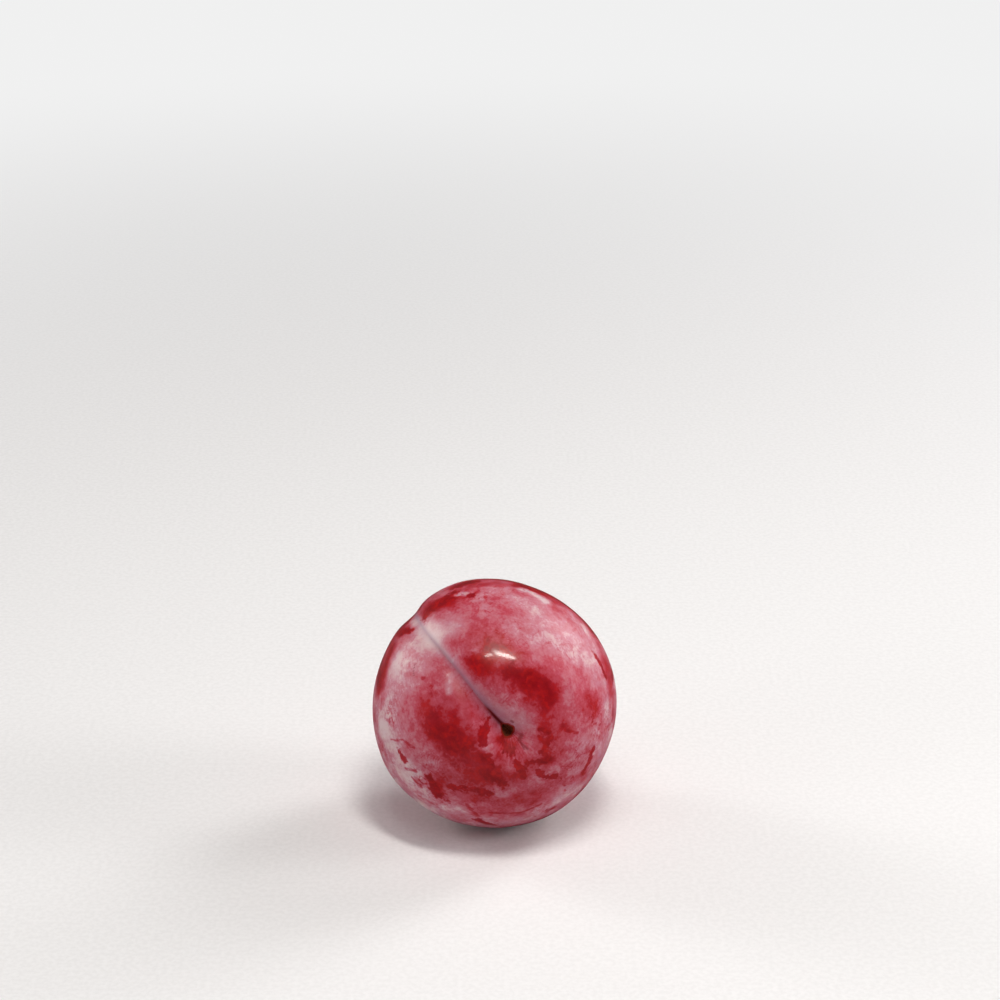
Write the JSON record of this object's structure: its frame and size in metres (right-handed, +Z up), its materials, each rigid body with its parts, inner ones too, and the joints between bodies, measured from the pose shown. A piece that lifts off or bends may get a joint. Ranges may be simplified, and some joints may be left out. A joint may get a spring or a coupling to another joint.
{
  "type": "plum",
  "caption": "Whole round plum lying on its side, with a stem hollow, a stalk scar, a fold down one side and a small flat spot to rest on.",
  "frame": {"origin": "middle of the small flat spot that the fruit rests on", "axes": "+Z up off the surface; the stem hollow faces -Y, tipped a little upwards and towards +X; the fold runs up to the left, towards -X and +Z"},
  "size_m": [0.0577, 0.0532, 0.0574],
  "materials": {
    "skin": "red plum skin under a pale waxy bloom, satin, with rubbed glossy patches"
  },
  "bodies": {
    "root": {"plum": "skin"}
  },
  "joints": []
}
